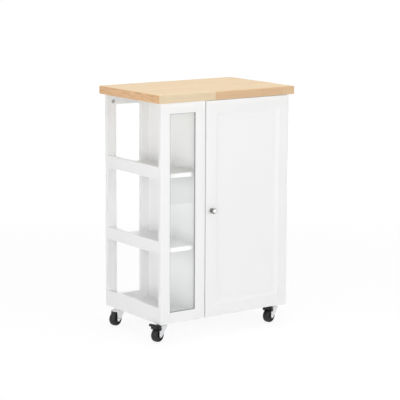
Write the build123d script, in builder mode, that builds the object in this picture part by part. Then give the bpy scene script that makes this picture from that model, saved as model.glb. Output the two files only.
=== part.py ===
from build123d import *
import os
from math import cos, radians, sin

os.makedirs("parts", exist_ok=True)

# Driving dimensions, in millimetres. The origin is on the floor under the middle of the
# worktop, +X runs along the front to the right, and the front faces -Y.
worktop_length = 600.0
worktop_width = 400.0
worktop_thickness = 30.0
body_length = 570.0
body_depth = 370.0
body_height = 800.0
caster_height = 70.0
board = 15.0
edge_ease = 0.8

# Face frames, column and door along the front
frame_length = 192.0
stile_left_width = 40.0
stile_right_width = 42.0
frame_rail_height = 40.0
divider_behind_frame = 9.5
door_to_frame_gap = 4.0
door_gap_behind = 1.5
door_gap_below = 1.0
door_gap_above = 3.0

# Heights of the column shelves above the floor, and of the guard rail beside each
shelf_bottoms = {"bottom": 70.0, "middle": 328.0, "top": 597.0}
guard_rail_heights = {"bottom": 60.0, "middle": 45.0, "top": 45.0}

# Faces that follow from the driving dimensions
left = -body_length / 2
right = body_length / 2
front = -body_depth / 2
back = body_depth / 2
body_bottom = caster_height
body_top = body_bottom + body_height
inner_front = front + board
inner_back = back - board
inner_right = right - board
opening_left = left + stile_left_width
opening_right = left + frame_length - stile_right_width
frame_right = left + frame_length
opening_bottom = body_bottom + frame_rail_height
opening_top = body_top - frame_rail_height
divider_left = frame_right - divider_behind_frame
divider_right = divider_left + board
door_left = frame_right + door_to_frame_gap
door_right = right
door_bottom = body_bottom + door_gap_below
door_top = body_top - door_gap_above
door_back = inner_front - door_gap_behind
door_front = door_back - board


def save(builder, name):
    """Label a finished piece and write it to a file of its own."""
    builder.part.label = name
    export_step(builder.part, f"parts/{name}.step")


def block(low, high, mode=Mode.ADD):
    """Put a square block between two opposite corners into the part being made."""
    centre = tuple((a + b) / 2 for a, b in zip(low, high))
    size = tuple(b - a for a, b in zip(low, high))
    with Locations(centre):
        Box(*size, mode=mode)


def rod(start, direction, radius, length, mode=Mode.ADD):
    """Put a round rod that starts at a point and runs along a direction into the part."""
    with Locations(Plane(origin=start, z_dir=direction)):
        Cylinder(radius, length, align=(Align.CENTER, Align.CENTER, Align.MIN), mode=mode)


def along(start, direction, distance):
    """The point at a distance from a start along a direction."""
    return tuple(a + distance * d for a, d in zip(start, direction))


# Wood dowels, each a start point and a direction. They join the face frames, the guard
# rails and their shelves, the divider, and the back of the cupboard.
dowel_radius = 3.0
dowel_length = 24.0
short_end = 10.0
long_end = dowel_length - short_end
dowels = []
for frame_middle in (front + board / 2, back - board / 2):
    for height in (body_bottom + frame_rail_height / 2, body_top - 9.0):
        dowels.append(((opening_left - 8.5, frame_middle, height), (1, 0, 0)))
        dowels.append(((opening_right - dowel_length + 8.5, frame_middle, height), (1, 0, 0)))
for level, rail_height in guard_rail_heights.items():
    height = shelf_bottoms[level] + rail_height / 2
    dowels.append(((left + board / 2, inner_front - short_end, height), (0, 1, 0)))
    dowels.append(((left + board / 2, inner_back - long_end, height), (0, 1, 0)))
    for y in (-80.0, 80.0):
        shelf_middle = shelf_bottoms[level] + board / 2
        dowels.append(((left + board - short_end, y, shelf_middle), (1, 0, 0)))
for height in (150.0, 480.0, 790.0):
    lap_middle = (divider_left + frame_right) / 2
    dowels.append(((lap_middle, inner_front - short_end, height), (0, 1, 0)))
    dowels.append(((lap_middle, inner_back - long_end, height), (0, 1, 0)))
for x, height in ((0.0, body_bottom), (180.0, body_bottom), (30.0, body_top), (150.0, body_top)):
    middle = height + board / 2 if height == body_bottom else height - board / 2
    dowels.append(((x, inner_back - long_end, middle), (0, 1, 0)))

# Cam fixings: the cam's point on the board face, the way into the board, and the way to
# the edge that the bolt crosses. Four hold the worktop, four the floor, four the stretchers.
cam_radius = 7.5
cam_depth = 12.5
cam_to_edge = 28.0
bolt_radius = 3.3
bolt_thread_radius = 3.0
bolt_thread_length = 11.0
cam_height = body_top - cam_to_edge
cams = [
    ((opening_left - 19.0, inner_front, cam_height), (0, -1, 0), (0, 0, 1)),
    ((opening_left - 12.5, inner_back, cam_height), (0, 1, 0), (0, 0, 1)),
    ((inner_right, -100.0, cam_height), (1, 0, 0), (0, 0, 1)),
    ((inner_right, 100.0, cam_height), (1, 0, 0), (0, 0, 1)),
]
for x, bolt_way in ((divider_right + cam_to_edge, (-1, 0, 0)), (inner_right - cam_to_edge, (1, 0, 0))):
    for y in (-60.0, 60.0):
        cams.append(((x, y, body_bottom), (0, 0, 1), bolt_way))
    for y in (-140.0, 140.0):
        cams.append(((x, y, body_top), (0, 0, -1), bolt_way))

# Shelf screws run from the cupboard side through the divider into each column shelf
shelf_screw_head_radius = 5.0
shelf_screw_head_length = 3.0
shelf_screw_shank_radius = 3.2
shelf_screw_thread_radius = 2.3
shelf_screw_length = 50.0
shelf_screws = [
    (divider_right, y, bottom + board / 2)
    for bottom in shelf_bottoms.values()
    for y in (-110.0, 110.0)
]

# Shelf pins stand in the middle of three rows of holes
pin_radius = 2.5
pin_depth = 10.0
pin_reach = 8.0
pin_row = 452.0
pin_row_step = 60.0
pin_places = [
    ((x, y, pin_row), way)
    for x, way in ((divider_right, (-1, 0, 0)), (inner_right, (1, 0, 0)))
    for y in (-120.0, 120.0)
]

# Door hinges, on the vertical line that the door turns about
hinge_heights = (door_bottom + 100.0, door_top - 100.0)
cup_centre_x = door_right - 22.5
cup_radius = 17.5
cup_depth = 11.3
cup_wall = 1.2
flange_thickness = 1.0
link_pivot = (right - 21.5, door_back + 4.0)
link_length = 17.0
link_angle = 217.8
link_half_height = 4.0
arm_half_height = 6.0
arm_inner_x = 256.0
arm_outer_x = 260.0
plate_face_x = 267.0
plate_middle_y = inner_front + 36.5

# Pane and its clips: a rebate round the opening takes the pane from behind
pane_setback = 7.0
pane_thickness = 4.0
pane_front = front + pane_setback
pane_back = pane_front + pane_thickness
pane_lap = 8.0
pane_clearance = 0.5
clip_length = 17.0
clip_width = 12.0
clip_thickness = 1.5
clip_heights = (200.0, 470.0, 740.0)
clip_screw_to_rebate = 6.0
opening_middle = (opening_left + opening_right) / 2

# Small wood screws: the point under the head, and the way in
small_screw_radius = 1.6
small_screw_length = 10.0
small_head_radius = 3.2
small_head_height = 1.8
clip_back = inner_front + clip_thickness
clip_screw_inset = pane_lap + clip_screw_to_rebate
clip_screws = [
    ((x, clip_back, height), (0, -1, 0))
    for x in (opening_left - clip_screw_inset, opening_right + clip_screw_inset)
    for height in clip_heights
] + [
    ((opening_middle, clip_back, height), (0, -1, 0))
    for height in (opening_bottom - clip_screw_inset, opening_top + clip_screw_inset)
]
plate_screws = [
    ((plate_face_x, plate_middle_y, height + offset), (1, 0, 0))
    for height in hinge_heights
    for offset in (-16.0, 16.0)
]
catch_middle_z = 800.0
catch_flange_face = divider_right + 2.5
catch_screws = [
    ((catch_flange_face, inner_front + 31.0, catch_middle_z + offset), (-1, 0, 0))
    for offset in (-10.0, 10.0)
]
small_screws = clip_screws + plate_screws + catch_screws
cup_screws = [
    ((cup_centre_x - 9.5, door_back + flange_thickness, height + offset), (0, -1, 0))
    for height in hinge_heights
    for offset in (-22.5, 22.5)
]
strike_x = divider_right + 7.0
strike_screw = ((strike_x, door_back + flange_thickness, catch_middle_z + 24.0), (0, -1, 0))
door_screws = cup_screws + [strike_screw]

# Casters: the kingpins stand near the corners, and all four have swivelled alike, so that
# the wheels trail to the left and a little to the front
kingpin_x = 254.0
kingpin_y = 142.0
caster_turn = 18.0
caster_places = {
    "front_left": (-kingpin_x, -kingpin_y),
    "front_right": (kingpin_x, -kingpin_y),
    "back_left": (-kingpin_x, kingpin_y),
    "back_right": (kingpin_x, kingpin_y),
}
braked = ("front_left", "front_right")
wheel_radius = 25.4
wheel_half_width = 13.5
wheel_trail = 22.0
running_clearance = 0.05
axle_radius = 3.0
top_plate_size = 50.0
top_plate_thickness = 2.5
plate_hole_offset = 19.0
caster_screw_radius = 1.8
caster_screw_length = 14.0
plate_bottom = caster_height - top_plate_thickness
race_split = 62.85
race_gap = 0.3
ball_ring_radius = 10.5
ball_radius = 2.0
groove_radius = 2.2
kingpin_radius = 4.0
crown_bottom = 57.0
crown_thickness = 2.0
crown_radius = 17.0
leg_inner = 15.0
leg_thickness = 2.0
brake_pivot = (-23.0, 55.5)
brake_pin_radius = 2.0
brake_press_angle = 16.0

# Knob, near the door's free edge
knob_x = door_left + 25.0
knob_z = 467.0
knob_screw_radius = 2.0


def cam_seat(place):
    """Cut a cam's bore and the holes of its bolt."""
    face_point, inward, bolt_way = place
    rod(face_point, inward, cam_radius, cam_depth)
    middle = along(face_point, inward, board / 2)
    rod(middle, bolt_way, bolt_radius + 0.1, cam_to_edge)
    rod(along(middle, bolt_way, cam_to_edge), bolt_way, bolt_thread_radius, bolt_thread_length)


def countersunk_screw(head_point, way):
    """A long countersunk screw whose head is flush with the face at the head point."""
    with Locations(Plane(origin=head_point, z_dir=way)):
        Cone(
            shelf_screw_head_radius,
            shelf_screw_shank_radius,
            shelf_screw_head_length,
            align=(Align.CENTER, Align.CENTER, Align.MIN),
        )
    shank_start = along(head_point, way, shelf_screw_head_length)
    rod(shank_start, way, shelf_screw_shank_radius, board - shelf_screw_head_length)
    rod(along(head_point, way, board), way, shelf_screw_thread_radius, shelf_screw_length - board)


# Holes that the fixings need, cut from each board that they cross
with BuildPart() as fixing_holes:
    for start, way in dowels:
        rod(start, way, dowel_radius, dowel_length)
    for place in cams:
        cam_seat(place)
    for point in shelf_screws:
        countersunk_screw(point, (-1, 0, 0))
    for (x, y, z), way in pin_places:
        for step in (-pin_row_step, 0.0, pin_row_step):
            rod((x, y, z + step), way, pin_radius, pin_depth)
    for start, way in small_screws + door_screws:
        rod(start, way, small_screw_radius, small_screw_length)
    for x, y in caster_places.values():
        for dx in (-plate_hole_offset, plate_hole_offset):
            for dy in (-plate_hole_offset, plate_hole_offset):
                rod((x + dx, y + dy, plate_bottom), (0, 0, 1), caster_screw_radius, caster_screw_length)


def drilled_board(low, high, long_axis):
    """A board with its long edges eased, drilled for every fixing that crosses it."""
    block(low, high)
    fillet(edges().filter_by(long_axis), edge_ease)
    add(fixing_holes.part, mode=Mode.SUBTRACT)


# Worktop: one glued-up hardwood slab with rounded edges
worktop_edge_radius = 1.5
with BuildPart() as worktop:
    block(
        (-worktop_length / 2, -worktop_width / 2, body_top),
        (worktop_length / 2, worktop_width / 2, body_top + worktop_thickness),
    )
    fillet(edges(), worktop_edge_radius)
    add(fixing_holes.part, mode=Mode.SUBTRACT)
save(worktop, "worktop")

# Face frames: two stiles and two rails each, the front one rebated for the pane
frame_depths = {"front": (front, inner_front), "back": (inner_back, back)}
frame_members = {
    "stile_left": ((left, body_bottom), (opening_left, body_top), Axis.Z),
    "stile_right": ((opening_right, body_bottom), (frame_right, body_top), Axis.Z),
    "rail_top": ((opening_left, opening_top), (opening_right, body_top), Axis.X),
    "rail_bottom": ((opening_left, body_bottom), (opening_right, opening_bottom), Axis.X),
}
for side, (near, far) in frame_depths.items():
    for member, (low, high, long_axis) in frame_members.items():
        with BuildPart() as frame_member:
            drilled_board((low[0], near, low[1]), (high[0], far, high[1]), long_axis)
            if side == "front":
                block(
                    (opening_left - pane_lap, pane_front, opening_bottom - pane_lap),
                    (opening_right + pane_lap, inner_front, opening_top + pane_lap),
                    mode=Mode.SUBTRACT,
                )
        save(frame_member, f"{side}_{member}")

# Pane: clear sheet lying in the rebate, held by small metal clips from behind
pane_edge = pane_lap - pane_clearance
with BuildPart() as window_pane:
    block(
        (opening_left - pane_edge, pane_front, opening_bottom - pane_edge),
        (opening_right + pane_edge, pane_back, opening_top + pane_edge),
    )
save(window_pane, "window_pane")

# Each clip is a strip screwed to the frame, with a step down to a foot that presses the pane.
# Its parts are given by their two ends, measured from the screw towards the opening.
clip_hole_to_end = 5.0
clip_step_start = 7.0
clip_step_end = clip_step_start + clip_thickness
clip_parts = (
    ((-clip_hole_to_end, clip_step_end), (inner_front, clip_back)),
    ((clip_step_start, clip_step_end), (pane_back, clip_back)),
    ((clip_step_start, clip_length - clip_hole_to_end), (pane_back, pane_back + clip_thickness)),
)
with BuildPart() as pane_clips:
    for (x, y, z), way in clip_screws:
        across = clip_width / 2
        for ends, (near, far) in clip_parts:
            if z in clip_heights:
                inward = 1 if x < opening_middle else -1
                low, high = sorted(x + inward * end for end in ends)
                block((low, near, z - across), (high, far, z + across))
            else:
                inward = 1 if z < (opening_bottom + opening_top) / 2 else -1
                low, high = sorted(z + inward * end for end in ends)
                block((x - across, near, low), (x + across, far, high))
    for start, way in clip_screws:
        rod(start, way, small_screw_radius, small_screw_length, mode=Mode.SUBTRACT)
save(pane_clips, "pane_clips")

# Upright panels
with BuildPart() as divider_panel:
    drilled_board(
        (divider_left, inner_front, body_bottom), (divider_right, inner_back, body_top), Axis.Z
    )
save(divider_panel, "divider_panel")

with BuildPart() as right_side_panel:
    drilled_board((inner_right, inner_front, body_bottom), (right, back, body_top), Axis.Z)
save(right_side_panel, "right_side_panel")

with BuildPart() as cupboard_back:
    drilled_board((frame_right, inner_back, body_bottom), (inner_right, back, body_top), Axis.Z)
save(cupboard_back, "cupboard_back")

# Boards inside the cupboard
stretcher_depth = 60.0
with BuildPart() as cupboard_floor:
    drilled_board(
        (divider_right, inner_front, body_bottom), (inner_right, inner_back, body_bottom + board), Axis.X
    )
save(cupboard_floor, "cupboard_floor")

with BuildPart() as stretcher_front:
    drilled_board(
        (divider_right, inner_front, body_top - board),
        (inner_right, inner_front + stretcher_depth, body_top),
        Axis.X,
    )
save(stretcher_front, "stretcher_front")

with BuildPart() as stretcher_back:
    drilled_board(
        (divider_right, inner_back - stretcher_depth, body_top - board),
        (inner_right, inner_back, body_top),
        Axis.X,
    )
save(stretcher_back, "stretcher_back")

shelf_side_gap = 1.0
shelf_front_y = -150.0
shelf_back_y = 165.0
shelf_rest = pin_row + pin_radius
with BuildPart() as cupboard_shelf:
    block(
        (divider_right + shelf_side_gap, shelf_front_y, shelf_rest),
        (inner_right - shelf_side_gap, shelf_back_y, shelf_rest + board),
    )
    fillet(edges().filter_by(Axis.X), edge_ease)
save(cupboard_shelf, "cupboard_shelf")

with BuildPart() as shelf_pins:
    for start, way in pin_places:
        outward = tuple(-w for w in way)
        rod(start, way, pin_radius, pin_depth)
        rod(start, outward, pin_radius, pin_reach)
save(shelf_pins, "shelf_pins")

# Column shelves, which stop just behind the pane, and the guard rail on each open side
shelf_left = left + board
column_shelf_front = inner_front + 2.0
for level, bottom in shelf_bottoms.items():
    with BuildPart() as column_shelf:
        drilled_board(
            (shelf_left, column_shelf_front, bottom), (divider_left, inner_back, bottom + board), Axis.X
        )
    save(column_shelf, f"column_shelf_{level}")
    with BuildPart() as guard_rail:
        drilled_board(
            (left, inner_front, bottom),
            (shelf_left, inner_back, bottom + guard_rail_heights[level]),
            Axis.Y,
        )
    save(guard_rail, f"guard_rail_{level}")

# Hidden fixings
with BuildPart() as wood_dowels:
    for start, way in dowels:
        rod(start, way, dowel_radius, dowel_length)
save(wood_dowels, "wood_dowels")

cam_clearance = 0.2
cam_length = 12.2
cam_slot_width = 7.4
cam_slot_tail = 3.2
cross_recess = (1.6, 9.0, 2.0)
with BuildPart() as cam_locks:
    for face_point, inward, bolt_way in cams:
        rod(face_point, inward, cam_radius - cam_clearance, cam_length)
        middle = along(face_point, inward, board / 2)
        cam_plane = Plane(origin=middle, x_dir=bolt_way, z_dir=inward)
        slot_length = cam_radius + cam_slot_tail
        with Locations(cam_plane.offset(0)):
            with Locations((slot_length / 2 - cam_slot_tail, 0, 0)):
                Box(slot_length, cam_slot_width, cam_slot_width, mode=Mode.SUBTRACT)
        with Locations(Plane(origin=face_point, x_dir=bolt_way, z_dir=inward)):
            Box(cross_recess[0], cross_recess[1], cross_recess[2] * 2, mode=Mode.SUBTRACT)
            Box(cross_recess[1], cross_recess[0], cross_recess[2] * 2, mode=Mode.SUBTRACT)
save(cam_locks, "cam_locks")

bolt_head_half = 1.5
bolt_neck_radius = 1.6
bolt_neck_end = 8.0
with BuildPart() as cam_bolts:
    for face_point, inward, bolt_way in cams:
        middle = along(face_point, inward, board / 2)
        rod(along(middle, bolt_way, -bolt_head_half), bolt_way, bolt_radius, 2 * bolt_head_half)
        rod(middle, bolt_way, bolt_neck_radius, bolt_neck_end)
        rod(along(middle, bolt_way, bolt_neck_end), bolt_way, bolt_radius, cam_to_edge - bolt_neck_end)
        thread_start = along(middle, bolt_way, cam_to_edge)
        rod(thread_start, bolt_way, bolt_thread_radius, bolt_thread_length)
save(cam_bolts, "cam_bolts")

with BuildPart() as panel_screws:
    for point in shelf_screws:
        countersunk_screw(point, (-1, 0, 0))
    for x, y, z in shelf_screws:
        socket = Plane(origin=(x, y, z), z_dir=(-1, 0, 0))
        with BuildSketch(socket):
            RegularPolygon(2.2, 6)
        extrude(amount=2.5, mode=Mode.SUBTRACT)
save(panel_screws, "shelf_screws")


def pan_head_screws(places):
    """Small wood screws with a low round head and a cross recess."""
    for start, way in places:
        outward = tuple(-w for w in way)
        rod(start, way, small_screw_radius, small_screw_length)
        rod(start, outward, small_head_radius, small_head_height)
        head_top = along(start, outward, small_head_height)
        with Locations(Plane(origin=head_top, z_dir=way)):
            Box(0.9, 3.6, 2.0, mode=Mode.SUBTRACT)
            Box(3.6, 0.9, 2.0, mode=Mode.SUBTRACT)


with BuildPart() as body_small_screws:
    pan_head_screws(small_screws)
save(body_small_screws, "small_screws")

with BuildPart() as door_small_screws:
    pan_head_screws(door_screws)
save(door_small_screws, "door_screws")

# Magnetic catch on the divider, inside the cupboard
catch_half_height = 18.0
catch_front = door_back + flange_thickness + 0.3
catch_housing_back = inner_front + 24.0
catch_flange_back = inner_front + 38.0
catch_thickness = 13.5
with BuildPart() as catch_magnet:
    block(
        (divider_right, catch_front, catch_middle_z - catch_half_height),
        (divider_right + catch_thickness, catch_housing_back, catch_middle_z + catch_half_height),
    )
    fillet(edges().filter_by(Axis.Y), 1.0)
    block(
        (divider_right, catch_housing_back, catch_middle_z - catch_half_height),
        (catch_flange_face, catch_flange_back, catch_middle_z + catch_half_height),
    )
    for start, way in catch_screws:
        rod(start, way, small_screw_radius, small_screw_length, mode=Mode.SUBTRACT)
save(catch_magnet, "catch_magnet")

# Hinge mounting plates and arms, fixed to the right side panel
plate_half_height = 26.0
plate_half_width = 9.0
rib_half_height = 5.0
with BuildPart() as hinge_plates:
    for height in hinge_heights:
        block(
            (plate_face_x, plate_middle_y - plate_half_width, height - plate_half_height),
            (inner_right, plate_middle_y + plate_half_width, height + plate_half_height),
        )
        block(
            (arm_outer_x, plate_middle_y - 16.0, height - rib_half_height),
            (plate_face_x, plate_middle_y + 34.0, height + rib_half_height),
        )
    for start, way in plate_screws:
        rod(start, way, small_screw_radius, small_screw_length, mode=Mode.SUBTRACT)
save(hinge_plates, "hinge_plates")

nose_radius = 3.4
arm_root_radius = 2.0
arm_bend_y = inner_front + 13.0
arm_end_y = inner_front + 78.0
slot_half_height = link_half_height + 0.3
slot_end_y = link_pivot[1] + 5.5
link_pin_radius = 1.5
with BuildPart() as hinge_arms:
    for height in hinge_heights:
        with BuildSketch(Plane.XY.offset(height - arm_half_height)):
            with Locations(link_pivot):
                Circle(nose_radius)
            with Locations((arm_inner_x + arm_root_radius, arm_bend_y)):
                Circle(arm_root_radius)
            make_hull()
        extrude(amount=2 * arm_half_height)
        block(
            (arm_inner_x, arm_bend_y, height - arm_half_height),
            (arm_outer_x, arm_end_y, height + arm_half_height),
        )
        block(
            (arm_inner_x - 2.0, inner_front - 3.0, height - slot_half_height),
            (inner_right, slot_end_y, height + slot_half_height),
            mode=Mode.SUBTRACT,
        )
        pin_start = (link_pivot[0], link_pivot[1], height - arm_half_height)
        rod(pin_start, (0, 0, 1), link_pin_radius, 2 * arm_half_height)
save(hinge_arms, "hinge_arms")

# Hinge links: they turn on the arm's pin and lie inside the cup when the door is shut
link_root_radius = 2.8
link_tip_radius = 2.2
link_tip = (
    link_pivot[0] + link_length * cos(radians(link_angle)),
    link_pivot[1] + link_length * sin(radians(link_angle)),
)
with BuildPart() as hinge_links:
    for height in hinge_heights:
        with BuildSketch(Plane.XY.offset(height - link_half_height)):
            with Locations(link_pivot):
                Circle(link_root_radius)
            with Locations(link_tip):
                Circle(link_tip_radius)
            make_hull()
            with Locations(link_pivot):
                Circle(link_pin_radius + running_clearance, mode=Mode.SUBTRACT)
        extrude(amount=2 * link_half_height)
save(hinge_links, "hinge_links")

# Door: one routed panel with a stepped moulding round a sunk field
border = 43.0
step_depth = 1.5
slope_start = 45.0
slope_end = 57.0
field_depth = 4.0
line_inset = 70.0
line_width = 2.0
line_depth = 0.7
door_width = door_right - door_left
door_height = door_top - door_bottom
door_face = Plane(
    origin=((door_left + door_right) / 2, door_front, (door_bottom + door_top) / 2),
    x_dir=(1, 0, 0),
    z_dir=(0, -1, 0),
)
with BuildPart() as door_panel:
    block((door_left, door_front, door_bottom), (door_right, door_back, door_top))
    fillet(edges().group_by(Axis.Y)[0], 1.2)
    with BuildSketch(door_face):
        Rectangle(door_width - 2 * border, door_height - 2 * border)
    extrude(amount=-step_depth, mode=Mode.SUBTRACT)
    with BuildSketch(door_face.offset(-step_depth)):
        Rectangle(door_width - 2 * slope_start, door_height - 2 * slope_start)
    with BuildSketch(door_face.offset(-field_depth)):
        Rectangle(door_width - 2 * slope_end, door_height - 2 * slope_end)
    loft(ruled=True, mode=Mode.SUBTRACT)
    with BuildSketch(door_face.offset(-field_depth)):
        Rectangle(door_width - 2 * line_inset, door_height - 2 * line_inset)
        Rectangle(
            door_width - 2 * (line_inset + line_width),
            door_height - 2 * (line_inset + line_width),
            mode=Mode.SUBTRACT,
        )
    extrude(amount=-line_depth, mode=Mode.SUBTRACT)
    for height in hinge_heights:
        rod((cup_centre_x, door_back, height), (0, -1, 0), cup_radius, cup_depth, mode=Mode.SUBTRACT)
    rod((knob_x, door_back, knob_z), (0, -1, 0), knob_screw_radius + 0.25, board, mode=Mode.SUBTRACT)
    add(fixing_holes.part, mode=Mode.SUBTRACT)
save(door_panel, "door_panel")

# Hinge cups pressed into the back of the door
flange_radius = 19.0
flange_plate = (14.0, 56.0)
with BuildPart() as hinge_cups:
    for height in hinge_heights:
        flange_top = door_back + flange_thickness
        rod((cup_centre_x, door_back, height), (0, -1, 0), cup_radius, cup_depth)
        with BuildSketch(Plane(origin=(cup_centre_x, door_back, height), x_dir=(1, 0, 0), z_dir=(0, 1, 0))):
            Circle(flange_radius)
            with Locations((-9.5, 0)):
                RectangleRounded(*flange_plate, 3.0)
        extrude(amount=flange_thickness)
        inside_start = (cup_centre_x, flange_top, height)
        inside_depth = flange_thickness + cup_depth - cup_wall
        rod(inside_start, (0, -1, 0), cup_radius - cup_wall, inside_depth, mode=Mode.SUBTRACT)
    for start, way in cup_screws:
        rod(start, way, small_screw_radius, small_screw_length, mode=Mode.SUBTRACT)
save(hinge_cups, "hinge_cups")

# Strike plate on the back of the door, where the magnet meets it
with BuildPart() as catch_strike:
    block(
        (strike_x - 5.5, door_back, catch_middle_z - 15.0),
        (strike_x + 5.5, door_back + flange_thickness, catch_middle_z + 30.0),
    )
    fillet(edges().filter_by(Axis.Y), 2.0)
    rod(strike_screw[0], strike_screw[1], small_screw_radius, small_screw_length, mode=Mode.SUBTRACT)
save(catch_strike, "catch_strike")

# Knob: a turned mushroom on a round foot, with its screw from inside the door
knob_depth = 24.0
knob_bore_depth = 11.0
knob_plane = Plane(origin=(knob_x, door_front, knob_z), x_dir=(1, 0, 0), z_dir=(0, 0, -1))
with BuildPart() as door_knob:
    with BuildSketch(knob_plane):
        with BuildLine():
            Polyline(
                (1.0, knob_depth),
                (0, knob_depth),
                (0, knob_bore_depth),
                (knob_screw_radius, knob_bore_depth),
                (knob_screw_radius, 0),
                (8.5, 0),
                (8.5, 1.4),
                (7.6, 2.2),
                (6.0, 2.6),
            )
            ThreePointArc((6.0, 2.6), (4.7, 7.0), (6.6, 11.6))
            ThreePointArc((6.6, 11.6), (9.3, 13.6), (10.4, 16.4))
            ThreePointArc((10.4, 16.4), (6.9, 21.75), (1.0, knob_depth))
        make_face()
    revolve(axis=Axis((knob_x, door_front, knob_z), (0, -1, 0)))
save(door_knob, "door_knob")

knob_screw_head = (4.0, 2.4)
with BuildPart() as knob_screw:
    rod((knob_x, door_back, knob_z), (0, -1, 0), knob_screw_radius, board + knob_bore_depth)
    rod((knob_x, door_back, knob_z), (0, 1, 0), *knob_screw_head)
    with Locations((knob_x, door_back + knob_screw_head[1], knob_z)):
        Box(1.0, 2.4, 4.6, mode=Mode.SUBTRACT)
        Box(4.6, 2.4, 1.0, mode=Mode.SUBTRACT)
save(knob_screw, "knob_screw")

# Caster top plates, each with the upper race and its skirt
skirt_outer = 19.0
skirt_inner = 17.5
skirt_bottom = 60.5
upper_race_bottom = race_split + race_gap / 2
lower_race_top = race_split - race_gap / 2
rivet_head_radius = 6.0
rivet_head_height = 2.0
with BuildPart() as caster_plates:
    for x, y in caster_places.values():
        with BuildSketch(Plane.XY.offset(plate_bottom)):
            with Locations((x, y)):
                RectangleRounded(top_plate_size, top_plate_size, 6.0)
        extrude(amount=top_plate_thickness)
        skirt_start = (x, y, skirt_bottom)
        skirt_space = upper_race_bottom - skirt_bottom
        rod(skirt_start, (0, 0, 1), skirt_outer, plate_bottom - skirt_bottom)
        rod(skirt_start, (0, 0, 1), skirt_inner, skirt_space, mode=Mode.SUBTRACT)
        rod((x, y, upper_race_bottom), (0, 0, 1), kingpin_radius, 10.0, mode=Mode.SUBTRACT)
        rivet_seat = (x, y, caster_height - rivet_head_height)
        rod(rivet_seat, (0, 0, 1), rivet_head_radius, rivet_head_height, mode=Mode.SUBTRACT)
        with Locations((x, y, race_split)):
            Torus(ball_ring_radius, groove_radius, mode=Mode.SUBTRACT)
        for dx in (-plate_hole_offset, plate_hole_offset):
            for dy in (-plate_hole_offset, plate_hole_offset):
                hole = (x + dx, y + dy, plate_bottom)
                rod(hole, (0, 0, 1), caster_screw_radius, caster_screw_length, mode=Mode.SUBTRACT)
save(caster_plates, "caster_plates")

# Kingpins: rivets that carry the forks, headed at both ends
lower_head_radius = 7.0
lower_head_height = 2.5
head_gap = 0.3
with BuildPart() as caster_kingpins:
    for x, y in caster_places.values():
        head_top = crown_bottom - head_gap
        with BuildSketch(Plane(origin=(x, y, 0), x_dir=(1, 0, 0), z_dir=(0, -1, 0))):
            with BuildLine():
                Polyline(
                    (1.0, head_top - lower_head_height),
                    (0, head_top - lower_head_height),
                    (0, caster_height),
                    (rivet_head_radius, caster_height),
                    (rivet_head_radius, caster_height - rivet_head_height),
                    (kingpin_radius, caster_height - rivet_head_height),
                    (kingpin_radius, head_top),
                    (lower_head_radius, head_top),
                    (lower_head_radius, head_top - 0.8),
                )
                ThreePointArc(
                    (lower_head_radius, head_top - 0.8),
                    (4.4, head_top - 2.05),
                    (1.0, head_top - lower_head_height),
                )
            make_face()
        revolve(axis=Axis((x, y, 0), (0, 0, 1)))
save(caster_kingpins, "caster_kingpins")

ball_count = 12
with BuildPart() as caster_balls:
    for x, y in caster_places.values():
        with Locations((x, y, race_split)):
            with PolarLocations(ball_ring_radius, ball_count):
                Sphere(ball_radius)
save(caster_balls, "caster_balls")

caster_screw_head = (3.6, 2.2)
with BuildPart() as caster_screws:
    for x, y in caster_places.values():
        for dx in (-plate_hole_offset, plate_hole_offset):
            for dy in (-plate_hole_offset, plate_hole_offset):
                hole = (x + dx, y + dy, plate_bottom)
                rod(hole, (0, 0, 1), caster_screw_radius, caster_screw_length)
                rod(hole, (0, 0, -1), *caster_screw_head)
                with Locations((x + dx, y + dy, plate_bottom - caster_screw_head[1])):
                    Box(1.0, 4.2, 2.4, mode=Mode.SUBTRACT)
                    Box(4.2, 1.0, 2.4, mode=Mode.SUBTRACT)
save(caster_screws, "caster_screws")

# The swivelling pieces are drawn about their kingpin's axis, with the wheel trailing
# towards -X. The fork has two legs, a crown, the lower race, and holes for the axle.
leg_eye_radius = 8.0
leg_back = -28.0
leg_front = 14.0
leg_shoulder = 53.0
leg_outer = leg_inner + leg_thickness
lower_race_radius = 15.0
axle_height = wheel_radius
through_half = 25.0
side_view = Plane.XZ
leg_top = crown_bottom + crown_thickness


def cross_rod(point, radius, half_length, mode=Mode.ADD):
    """A rod along Y, centred on a point of the caster's side view."""
    rod((point[0], -half_length, point[1]), (0, 1, 0), radius, 2 * half_length, mode=mode)


with BuildPart() as plain_fork:
    for side in (-1, 1):
        with BuildSketch(side_view.offset(side * leg_inner)):
            with Locations((-wheel_trail, axle_height)):
                Circle(leg_eye_radius)
            with Locations(((leg_back + leg_front) / 2, (leg_shoulder + leg_top) / 2)):
                Rectangle(leg_front - leg_back, leg_top - leg_shoulder)
            make_hull()
        extrude(amount=side * leg_thickness)
    block((-crown_radius, -leg_outer, crown_bottom), (leg_front, leg_outer, leg_top))
    rod((0, 0, crown_bottom), (0, 0, 1), crown_radius, crown_thickness)
    rod((0, 0, crown_bottom), (0, 0, 1), lower_race_radius, lower_race_top - crown_bottom)
    kingpin_bore = kingpin_radius + running_clearance
    rod((0, 0, crown_bottom), (0, 0, 1), kingpin_bore, crown_radius, mode=Mode.SUBTRACT)
    with Locations((0, 0, race_split)):
        Torus(ball_ring_radius, groove_radius, mode=Mode.SUBTRACT)
    cross_rod((-wheel_trail, axle_height), axle_radius, through_half, mode=Mode.SUBTRACT)

# A fork with a foot brake has one more pair of holes, for the pedal's pin
with BuildPart() as braked_fork:
    add(plain_fork.part)
    cross_rod(brake_pivot, brake_pin_radius, through_half, mode=Mode.SUBTRACT)

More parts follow.
